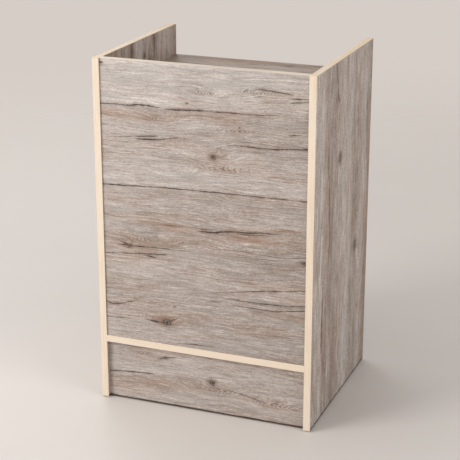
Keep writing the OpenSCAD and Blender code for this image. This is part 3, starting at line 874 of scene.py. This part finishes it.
def beech(name):
    """Compressed beech: pale pink-brown with short dark flecks along the dowel, burnished on the crests."""
    values = settings("hardware")
    material, tree, shader = finish(name)
    own = add(tree, "ShaderNodeAttribute", attribute_name="own").outputs["Vector"]
    solid = add(tree, "ShaderNodeVectorMath", {"Vector": own, "Scale": 1 / MM}, operation="SCALE")
    flecks = stretched(tree, solid, (5.0, 0.35, 1), 3.0, 0.6)
    cloud = add(tree, "ShaderNodeTexNoise", {"Vector": solid, "Scale": 0.15, "Detail": 3.0})
    amount = add(
        tree, "ShaderNodeMapRange", {"Value": flecks, "From Min": 0.52, "From Max": 0.66, "To Max": 0.7}
    )
    amount = weigh(tree, cloud, 0.5, amount)
    shade = add(
        tree, "ShaderNodeMix", {"Factor": amount, "A": values.beech, "B": values.fleck}, data_type="RGBA"
    )
    bump = add(tree, "ShaderNodeBump", {"Height": flecks, "Distance": 0.05 * MM, "Strength": 0.5})
    feed(shader, {"Base Color": shade, "Roughness": 0.55, "Normal": bump})
    return material


# How the grain lies on a board: the axes along it, across it and through the board
FRONT_GRAIN = (0, 2, 1)
SIDE_GRAIN = (2, 1, 0)
DECK_GRAIN = (0, 1, 2)


class DressFront(bpy.types.Operator):
    """Laminate on the front panel and the two kick plates"""

    bl_idname = "register_stand.front"
    bl_label = "Front and kick plates"

    def execute(self, context):
        laminate("OakLaminateFront", "front_panel", FRONT_GRAIN, FRONT, 1)
        laminate("OakLaminateKick", "kick_plate", FRONT_GRAIN, KICK, 2)
        look = wandering(21, (-286, 3), (286, 171), cracks=3, knots=2)
        laminate("OakLaminateRearKick", "rear_kick_plate", FRONT_GRAIN, look, 3)
        return {"FINISHED"}


class DressSides(bpy.types.Operator):
    """Laminate on the side panels, with its grain upright"""

    bl_idname = "register_stand.sides"
    bl_label = "Side panels"

    def execute(self, context):
        laminate("OakLaminateRight", "right_side_panel", SIDE_GRAIN, RIGHT_SIDE, 4)
        look = wandering(34, (3, -254), (965, 254), cracks=7, knots=4, drawn=LEFT_SIDE)
        laminate("OakLaminateLeft", "left_side_panel", SIDE_GRAIN, look, 5)
        return {"FINISHED"}


class DressDecks(bpy.types.Operator):
    """Laminate on the register deck, the bottom deck and the shelf"""

    bl_idname = "register_stand.decks"
    bl_label = "Decks and shelf"

    def execute(self, context):
        names = {"register_deck": DECK, "bottom_deck": {}, "adjustable_shelf": {}}
        for number, (node, drawn) in enumerate(names.items()):
            seed = 41 + 11 * number
            look = wandering(seed, (-286, -254), (286, 254), cracks=6, drawn={"face": 1, **drawn})
            title = "OakLaminate" + node.title().replace("_", "")
            laminate(title, node, DECK_GRAIN, look, 6 + number)
        return {"FINISHED"}


class DressBands(bpy.types.Operator):
    """Maple edge band on every banded edge"""

    bl_idname = "register_stand.bands"
    bl_label = "Edge bands"

    def execute(self, context):
        upright = [f"{side}_{end}_band" for side in ("left", "right") for end in ("front", "rear")]
        maple_band("MapleBandUpright", 2, upright)
        # The tops of the sides are a warmer cream, painted to offset the pale sheen that these level faces
        # catch at a grazing angle, and the panel's top is greyed
        tops = ["left_top_band", "right_top_band"]
        maple_band("MapleBandTop", 1, tops, settings("band").line, 0.8)
        maple_band("MapleBandPanelTop", 0, ["front_panel_top_band"], settings("laminate").pale, 0.5)
        level = ["register_deck_rear_band", "bottom_deck_front_band", "bottom_deck_rear_band"]
        maple_band("MapleBandLevel", 0, level + ["shelf_front_band", "shelf_rear_band"])
        return {"FINISHED"}


def circle(count):
    """Even angles once round."""
    return np.linspace(0, 2 * math.pi, count, endpoint=False)


def skin(rings, ends=None):
    """Points and faces of a closed surface through rings of points that all have the same length.

    Columns wrap round. With ends, a fan closes the surface at each of the two points; without, the last ring
    joins the first, as on a washer. Faces point outwards where the rings turn from x to y and climb.
    """
    rows, columns = rings.shape[:2]
    index = np.arange(rows * columns).reshape(rows, columns)
    points = rings.reshape(-1, 3)
    if ends is None:
        index = np.vstack([index, index[:1]])
    beside = np.roll(index, -1, axis=1)
    quads = np.stack([index[:-1], beside[:-1], beside[1:], index[1:]], -1).reshape(-1, 4)
    if ends is None:
        return points, [quads]
    first = np.full(columns, len(points))
    return np.vstack([points, ends]), [
        quads,
        np.stack([beside[0], index[0], first], -1),
        np.stack([index[-1], beside[-1], first + 1], -1),
    ]


def lathe(profile, turn, axis, closed=True):
    """Skin of a turned form: rings (height, radius) round an axis. Either may change with the angle turn.

    Point = (radius * cos turn, radius * sin turn, height), carried to the axis by a cyclic swap.
    """
    shift = (axis + 1) % 3
    rings = [
        np.stack(np.broadcast_arrays(radius * np.cos(turn), radius * np.sin(turn), height), -1)
        for height, radius in profile
    ]
    poles = [np.roll((0, 0, np.mean(height)), shift) for height in (profile[0][0], profile[-1][0])]
    return skin(np.roll(rings, shift, axis=-1), poles if closed else None)


def copies(shape, spots):
    """The shape at each spot, which is a rotation and a place."""
    points, groups = shape
    moved = np.vstack([points @ rotation.T + place for rotation, place in spots])
    return moved, [np.vstack([group + len(points) * i for i in range(len(spots))]) for group in groups]


def joined(first, second):
    """Two shapes as one."""
    return np.vstack([first[0], second[0]]), first[1] + [group + len(first[0]) for group in second[1]]


def facing(forward, up):
    """The rotation that turns local x to forward and local z up."""
    return np.column_stack([forward, np.cross(up, forward), up])


def at_sides(places):
    """Spots on the inner faces of the two sides, local x pointing into the stand, from (y, z, up)."""
    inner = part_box("right_side_panel")[0][0]
    return [(facing((-side, 0, 0), up), (side * inner, y, z)) for y, z, up in places for side in (-1, 1)]


DOWN = (0, 0, -1)
UP = (0, 0, 1)
BACK = (0, 1, 0)
FORE = (0, -1, 0)
UPRIGHT_BOARDS = ("front_panel", "kick_plate", "rear_kick_plate")


def end_joints():
    """The cams and dowels at the ends of the boards, each as (y, z, up) on a side's inner face.

    A cam lies cam_edge in from a board's corner and turns its face down or away from the customer; its dowel
    lies dowel_pitch further in.
    """
    sizes = settings("sizes")
    edge, inner = sizes.cam_edge, sizes.cam_edge + sizes.dowel_pitch
    front, rear = CAD_BOX[0][1], CAD_BOX[1][1]
    panel_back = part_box("front_panel")[1][1]
    base_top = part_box("bottom_deck")[1][2]
    deck_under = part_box("register_deck")[0][2]
    deck_z, base_z, kick_z = (middle(node, 2) for node in ("register_deck", "bottom_deck", "kick_plate"))
    panel_y, kick_y, rear_kick_y = (middle(node, 1) for node in UPRIGHT_BOARDS)
    cams = [(y, deck_z, DOWN) for y in (panel_back + edge, rear - edge)]
    cams += [(y, base_z, DOWN) for y in (front + edge, rear - edge)]
    cams += [(panel_y, z, BACK) for z in (base_top + edge, (base_top + deck_under) / 2, deck_under - edge)]
    cams += [(kick_y, kick_z, BACK), (rear_kick_y, kick_z, FORE)]
    dowels = [(y, deck_z, UP) for y in (panel_back + inner, rear - inner)]
    dowels += [(y, base_z, UP) for y in (front + inner, rear - inner)]
    dowels += [(panel_y, z, UP) for z in (base_top + inner, deck_under - inner)]
    dowels += [(y, kick_z + s * sizes.dowel_pitch, UP) for y in (kick_y, rear_kick_y) for s in (-1, 1)]
    return {"cams": cams, "dowels": dowels}


def cross(turn, reach, half):
    """Polar outline of a plus sign, the wider of two bars: min(reach / |cos|, half / |sin|) and its swap."""
    c, s = np.abs(np.cos(turn)) + 1e-9, np.abs(np.sin(turn)) + 1e-9
    return np.maximum(np.minimum(reach / c, half / s), np.minimum(reach / s, half / c))


def cam_lock(sizes):
    """A drum, hollow from below round the bolt's head, with a mouth towards the bolt and a cross on top.

    Rings run from the hollow's ceiling down its wall, under the foot, up the drum, over its rim and into the
    cross. Between the mouth's edges the foot rises to the mouth's height. The hollow closes in on the far
    side, which is the ramp that pulls the bolt home, and a notch in the rim marks the mouth.
    """
    drum, hollow, ceiling, ramp = 7.4 * MM, 5.2 * MM, 3.7 * MM, 0.9 * MM
    foot, top, mouth, mouth_half = -3 * MM, 9.4 * MM, 2.5 * MM, math.radians(24)
    bevel, notch, notch_half = 0.35 * MM, 0.7 * MM, math.radians(7)
    # Angles close together on both sides of each edge keep the mouth and the cross sharp
    corner = math.atan2(sizes.recess_width, sizes.recess_length)
    angles = [circle(72)]
    angles += [math.pi / 2 * quarter + np.array([-corner, corner, math.pi / 4]) for quarter in range(4)]
    angles.append(math.pi + np.array([-1.02, -1, 1, 1.02]) * mouth_half)
    angles.append(math.pi + np.array([-1, 1]) * notch_half)
    turn = np.unique(np.round(np.concatenate(angles) % (2 * math.pi), 6))
    low = np.where(np.abs(turn - math.pi) < 1.01 * mouth_half, mouth, foot)
    wall = hollow - ramp * np.maximum(0, np.cos(turn)) ** 2
    rim = drum - notch * np.maximum(0, 1 - np.abs(turn - math.pi) / notch_half)
    star = cross(turn, sizes.recess_length, sizes.recess_width)
    profile = [
        (ceiling, wall),
        (low, wall),
        (low, drum),
        (top - 4 * bevel, drum),
        (top - 3 * bevel, rim),
        (top - bevel, rim),
        (top, rim - bevel),
        (top, star + bevel / 2),
        (top - bevel / 2, star),
        (top - sizes.recess_depth, 0.94 * star),
    ]
    points, groups = lathe(profile, turn, 2)
    return points + (sizes.cam_setback, 0, 0), groups


def cam_bolt(sizes):
    """A turned bolt along x: thread in the side, collar on its face, shank, neck, and head in the cam.

    The thread is a ridge on the field x / pitch - turn, so it climbs one pitch each turn, right-handed. It
    grows out of a taper at the tip and runs out before the collar. The head's end is a quarter round.
    """
    turn = circle(28)
    pitch, crest = sizes.thread_pitch, 2.45 * MM
    root = crest - sizes.thread_depth
    tip, taper, runout, flank = -11 * MM, 2.4 * MM, 0.8 * MM, 0.32
    rings_per_pitch = 14
    profile = []
    for x in np.arange(tip, -0.1 * MM, pitch / rings_per_pitch):
        phase = (x / pitch - turn / (2 * math.pi)) % 1
        ridge = min(1, -x / runout) * np.clip(1 - np.abs(phase - 0.5) / flank, 0, 1)
        point = 0.3 + 0.7 * min(1, (x - tip) / taper)
        profile.append((x, point * (root + sizes.thread_depth * ridge)))
    collar, collar_end, shank, neck, head = 3.9 * MM, 1.5 * MM, 3 * MM, 1.9 * MM, 3.4 * MM
    rim, round_off, end = 0.25 * MM, 1.2 * MM, sizes.cam_setback
    shank_end, head_back = 25.5 * MM, 30.4 * MM
    profile += [(0, root), (0, collar - rim), (rim, collar), (collar_end - rim, collar)]
    profile += [(collar_end, collar - rim), (collar_end, shank), (shank_end - rim, shank), (shank_end, neck)]
    profile += [(head_back - rim, neck), (head_back, head - rim), (head_back + rim, head)]
    for a in np.linspace(0, math.pi / 2, 5):
        profile.append((end - round_off * (1 - math.sin(a)), head - round_off * (1 - math.cos(a))))
    return lathe(profile, turn, 0)


def dowel(sizes):
    """A fluted dowel along x: radius = outer - depth * (1 - cos(flutes * turn)) / 2, with chamfered ends."""
    turn = circle(6 * sizes.flutes)
    radius = 3.95 * MM - sizes.flute_depth * (1 - np.cos(sizes.flutes * turn)) / 2
    low, high, chamfer = -10 * MM, 20 * MM, 0.9 * MM
    profile = [(low, radius - chamfer), (low + chamfer, radius)]
    profile += [(high - chamfer, radius), (high, radius - chamfer)]
    return lathe(profile, turn, 0)


def shelf_pin(sizes):
    """A pressed pin: shank along x in the side, a collar cut flat on top, and a round-nosed ledge.

    The ledge is rings of one outline, drawn in a little at its two faces.
    """
    shank, collar, flat, thick, rim = 2.45 * MM, sizes.pin_collar, 2.5 * MM, 1.2 * MM, 0.2 * MM
    tip, point = -10 * MM, 0.6 * MM
    cut = math.asin(flat / collar)
    turn = np.unique(np.append(circle(48), [cut, math.pi - cut]))
    plate = np.minimum(collar, flat / np.maximum(np.sin(turn), 1e-6))
    profile = [(tip, shank - point), (tip + point, shank), (0, shank), (0, plate - rim), (rim, plate)]
    profile += [(thick - rim, plate), (thick, plate - rim)]
    nose, reach, under, drawn_in = 4 * MM, 12 * MM, 0.5 * MM, 0.95
    bend = np.linspace(-math.pi / 2, math.pi / 2, 17)
    outline = np.stack([reach - nose + nose * np.cos(bend), nose * np.sin(bend), 0 * bend], -1)
    outline = np.vstack([(0, -nose, 0), outline, (0, nose, 0)])
    heart = np.array([reach / 2, 0, 0])
    levels = ((under, drawn_in), (under + rim, 1), (flat - rim, 1), (flat, drawn_in))
    rings = [heart + (outline - heart) * kept + (0, 0, z) for z, kept in levels]
    ends = [heart + (0, 0, under), heart + (0, 0, flat)]
    return joined(lathe(profile, turn, 0), skin(np.array(rings), ends))


def floor_glide(sizes):
    """A moulded foot with a round lower rim and a counterbored hole for its nail."""
    radius, rim, high, edge = sizes.glide_radius, 1.5 * MM, 3 * MM, 0.2 * MM
    hole, bore, bore_depth = 1.05 * MM, 2.55 * MM, 1 * MM
    profile = [(0, bore)]
    for a in np.linspace(0, math.pi / 2, 7):
        profile.append((rim * (1 - math.cos(a)), radius - rim * (1 - math.sin(a))))
    profile += [(high - edge, radius), (high, radius - edge)]
    profile += [(high, hole), (bore_depth, hole), (bore_depth, bore)]
    return lathe(profile, circle(64), 2, closed=False)


def glide_nail():
    """A flat-headed nail, point up."""
    shank, head, low, high, edge = 1 * MM, 2.5 * MM, 0.25 * MM, 1 * MM, 0.1 * MM
    profile = [(low, 0.8 * head), (low + 2 * edge, head), (high - edge, head), (high, head - edge)]
    profile += [(high, shank), (15.2 * MM, shank), (17 * MM, 0.08 * MM)]
    return lathe(profile, circle(24), 2)


def add_piece(name, node, shape, spots, material):
    """One object for all copies of a fitting. It stands for the node and rides on the carcass.

    It keeps each copy's own coordinates in the attribute "own", so that a grain can follow the copy.
    """
    points, groups = copies(shape, spots)
    mesh = bpy.data.meshes.new(name)
    mesh.from_pydata(points.tolist(), [], [face for group in groups for face in group.tolist()])
    own = mesh.attributes.new("own", "FLOAT_VECTOR", "POINT")
    own.data.foreach_set("vector", np.tile(shape[0], (len(spots), 1)).ravel())
    mesh.shade_smooth()
    mesh.set_sharp_from_angle(angle=math.radians(35))
    mesh.materials.append(material)
    piece = bpy.data.objects.new(name, mesh)
    bpy.context.scene.collection.objects.link(piece)
    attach(piece, "carcass")
    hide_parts(node)


class AddCamLocks(bpy.types.Operator):
    """Die-cast drums of the cam fittings"""

    bl_idname = "register_stand.cam_locks"
    bl_label = "Cam locks"

    def execute(self, context):
        # Zinc, die-cast and tumbled: a dull even grey with a slightly pebbled skin
        zinc = fitting_finish("DieCastZinc", settings("hardware").zinc, 1.0, 0.42, 0.4 * MM, 0.03 * MM)
        shape = cam_lock(settings("sizes"))
        add_piece("CamLocks", "cam_locks", shape, at_sides(end_joints()["cams"]), zinc)
        return {"FINISHED"}


class AddCamBolts(bpy.types.Operator):
    """Threaded bolts of the cam fittings"""

    bl_idname = "register_stand.cam_bolts"
    bl_label = "Cam bolts"

    def execute(self, context):
        # Steel, turned and then zinc-plated: brighter than the cams, and smooth
        steel = fitting_finish("PlatedSteelBolt", settings("hardware").steel, 1.0, 0.3, 0.3 * MM, 0.01 * MM)
        shape = cam_bolt(settings("sizes"))
        add_piece("CamBolts", "cam_bolts", shape, at_sides(end_joints()["cams"]), steel)
        return {"FINISHED"}


class AddDowels(bpy.types.Operator):
    """Fluted dowels between the boards"""

    bl_idname = "register_stand.dowels"
    bl_label = "Wood dowels"

    def execute(self, context):
        sizes = settings("sizes")
        panel_y, kick_y, rear_kick_y = (middle(node, 1) for node in UPRIGHT_BOARDS)
        base_under, base_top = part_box("bottom_deck")[0][2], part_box("bottom_deck")[1][2]
        spots = at_sides(end_joints()["dowels"])
        for side in (-1, 1):
            x = side * sizes.panel_dowel_x
            spots.append((facing(UP, BACK), (x, panel_y, base_top)))
            spots.append((facing(BACK, UP), (x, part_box("front_panel")[1][1], middle("register_deck", 2))))
            for y in (kick_y, rear_kick_y):
                spots.append((facing(DOWN, BACK), (side * sizes.kick_dowel_x, y, base_under)))
        add_piece("WoodDowels", "wood_dowels", dowel(sizes), spots, beech("BeechDowel"))
        return {"FINISHED"}


class AddShelfPins(bpy.types.Operator):
    """Pins that carry the adjustable shelf"""

    bl_idname = "register_stand.shelf_pins"
    bl_label = "Shelf pins"

    def execute(self, context):
        values, sizes = settings("hardware"), settings("sizes")
        low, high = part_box("shelf_pins")
        z = low[2] + sizes.pin_collar
        spots = at_sides([(y, z, UP) for y in (low[1] + sizes.pin_collar, high[1] - sizes.pin_collar)])
        # Steel, pressed and nickel-plated: a warm and rather sharp shine
        nickel = fitting_finish("NickelPlatedSteel", values.nickel, 1.0, 0.24, 0.3 * MM, 0.01 * MM)
        add_piece("ShelfPins", "shelf_pins", shelf_pin(sizes), spots, nickel)
        return {"FINISHED"}


class AddGlides(bpy.types.Operator):
    """Nailed glides under the sides"""

    bl_idname = "register_stand.glides"
    bl_label = "Floor glides and nails"

    def execute(self, context):
        values, sizes = settings("hardware"), settings("sizes")
        low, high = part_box("floor_glides")
        xs = (low[0] + sizes.glide_radius, high[0] - sizes.glide_radius)
        ys = (low[1] + sizes.glide_radius, high[1] - sizes.glide_radius)
        spots = [(np.eye(3), (x, y, 0)) for x in xs for y in ys]
        # Nylon, moulded: black with a low sheen from the mould's fine grain
        nylon = fitting_finish("BlackNylon", values.nylon, 0.0, 0.5, 0.25 * MM, 0.03 * MM)
        add_piece("FloorGlides", "floor_glides", floor_glide(sizes), spots, nylon)
        # Steel wire, headed and then zinc-plated in a barrel: a little duller than the bolts
        nail = fitting_finish("PlatedSteelNail", values.steel, 1.0, 0.34, 0.3 * MM, 0.01 * MM)
        add_piece("GlideNails", "glide_nails", glide_nail(), spots, nail)
        return {"FINISHED"}


# Where each soft lamp stands and how wide it is. They look at the middle of the stand.
LAMPS = {
    "key": ((-2.6, -2.9, 2.4), 1.9),
    "fill": ((4.6, -1.6, 2.6), 3.0),
    "back": ((-3.2, 3.4, 2.2), 2.6),
}
LAMPS_LOOK_AT = (0, 0, 0.55)


def add_lamp(name, place, size, power_in_watts):
    """A square soft lamp, turned so that its own -Z, along which it shines, meets the stand."""
    lamp = bpy.data.objects.new(name, bpy.data.lights.new(name, "AREA"))
    lamp.data.size = size
    lamp.data.energy = power_in_watts
    lamp.location = place
    lamp.rotation_euler = (Vector(place) - Vector(LAMPS_LOOK_AT)).to_track_quat("Z", "Y").to_euler()
    bpy.context.scene.collection.objects.link(lamp)


def sees_backdrop(tree):
    """1 for the rays that show the backdrop: the camera's, and those that metal and glass pass on to it."""
    rays = add(tree, "ShaderNodeLightPath").outputs
    total = 0.0
    for kind in ("Is Camera Ray", "Is Glossy Ray", "Is Transmission Ray"):
        total = add(tree, "ShaderNodeMath", {0: rays[kind], 1: total}, operation="ADD", use_clamp=True)
    return total


def polished_floor(values):
    """Polished concrete: pale and nearly even, clouded by its trowelling, with a low soft sheen.

    Its far part fades into the backdrop.
    """
    material, tree, shader = finish("PolishedFloor")
    place = add(tree, "ShaderNodeTexCoord").outputs["Object"]
    cloud = add(tree, "ShaderNodeTexNoise", {"Vector": place, "Scale": 2.2, "Detail": 4.0})
    darker = [0.86 * c for c in values.floor[:3]] + [1.0]
    amount = weigh(tree, cloud, 0.5, 0.2)
    shade = add(tree, "ShaderNodeMix", {"Factor": amount, "A": values.floor, "B": darker}, data_type="RGBA")
    feed(shader, {"Base Color": shade, "Roughness": 0.5, "Specular IOR Level": 0.3})
    away = add(tree, "ShaderNodeVectorMath", {0: place}, operation="LENGTH").outputs["Value"]
    fade = add(
        tree,
        "ShaderNodeMapRange",
        {"Value": away, "From Min": 0.15 * values.reach, "From Max": 0.75 * values.reach},
        interpolation_type="SMOOTHSTEP",
    )
    fade = add(tree, "ShaderNodeMath", {0: fade, 1: sees_backdrop(tree)}, operation="MULTIPLY")
    clear = add(tree, "ShaderNodeBsdfTransparent")
    mix = add(tree, "ShaderNodeMixShader", {0: fade, 1: shader, 2: clear})
    feed(tree.nodes["Material Output"], {"Surface": mix})
    return material


def floor_disc(values):
    """The floor: one round face, rim = reach * (cos turn, sin turn)."""
    turn = circle(96)
    rim = values.reach * np.stack([np.cos(turn), np.sin(turn), 0 * turn], 1)
    mesh = bpy.data.meshes.new("Floor")
    mesh.from_pydata(rim.tolist(), [], [list(range(len(rim)))])
    mesh.materials.append(polished_floor(values))
    floor = bpy.data.objects.new("Floor", mesh)
    bpy.context.scene.collection.objects.link(floor)


def studio_world(values):
    """Light from all round, stronger from the left, and a pale backdrop."""
    world = bpy.data.worlds.new("Studio")
    world.use_nodes = True
    tree = world.node_tree
    soft = tree.nodes["Background"]
    bearing = add(tree, "ShaderNodeTexCoord").outputs["Generated"]
    right = add(tree, "ShaderNodeSeparateXYZ", {"Vector": bearing}).outputs["X"]
    drop = -values.lean * values.ambient
    level = add(tree, "ShaderNodeMath", {0: right, 1: drop, 2: values.ambient}, operation="MULTIPLY_ADD")
    feed(soft, {"Color": values.bounce, "Strength": level})
    seen = add(tree, "ShaderNodeBackground", {"Color": values.air, "Strength": 1.0})
    mix = add(tree, "ShaderNodeMixShader", {0: sees_backdrop(tree), 1: soft, 2: seen})
    feed(tree.nodes["World Output"], {"Surface": mix})
    return world


class AddStage(bpy.types.Operator):
    """Pale floor, soft studio lamps and the camera"""

    bl_idname = "register_stand.stage"
    bl_label = "Stage"

    def execute(self, context):
        values = settings("stage")
        scene = context.scene
        floor_disc(values)
        scene.world = studio_world(values)
        for name, (place, size) in LAMPS.items():
            add_lamp(name.title() + "Lamp", place, size, getattr(values, name))
        camera = bpy.data.objects.new("Camera", bpy.data.cameras.new("Camera"))
        camera.data.sensor_width = 36.0
        camera.data.lens = values.lens
        camera.location = values.eye
        camera.rotation_euler = (math.radians(90) - values.elevation, 0, values.azimuth)
        scene.collection.objects.link(camera)
        scene.camera = camera
        scene.view_settings.view_transform = "Standard"
        return {"FINISHED"}


OPERATORS = (
    DressFront,
    DressSides,
    DressDecks,
    DressBands,
    AddCamLocks,
    AddCamBolts,
    AddDowels,
    AddShelfPins,
    AddGlides,
    AddStage,
)


class RegisterStandPanel(bpy.types.Panel):
    """Lists the stand's parts and their settings"""

    bl_idname = "VIEW3D_PT_register_stand"
    bl_label = "Register stand"
    bl_space_type = "VIEW_3D"
    bl_region_type = "UI"
    bl_category = "Register stand"

    def draw(self, context):
        stand = context.scene.register_stand
        for operator in OPERATORS:
            self.layout.operator(operator.bl_idname)
        for group, kind in GROUPS.items():
            column = self.layout.column()
            column.label(text=stand.bl_rna.properties[group].name)
            for field in kind.__annotations__:
                column.prop(getattr(stand, group), field)


CLASSES = (*GROUPS.values(), RegisterStandSettings, *OPERATORS, RegisterStandPanel)


def register():
    for kind in CLASSES:
        bpy.utils.register_class(kind)
    bpy.types.Scene.register_stand = PointerProperty(type=RegisterStandSettings)


def unregister():
    del bpy.types.Scene.register_stand
    for kind in reversed(CLASSES):
        bpy.utils.unregister_class(kind)


def main():
    """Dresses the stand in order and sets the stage."""
    register()
    for operator in OPERATORS:
        group, name = operator.bl_idname.split(".")
        getattr(getattr(bpy.ops, group), name)()


if __name__ == "__main__":
    main()
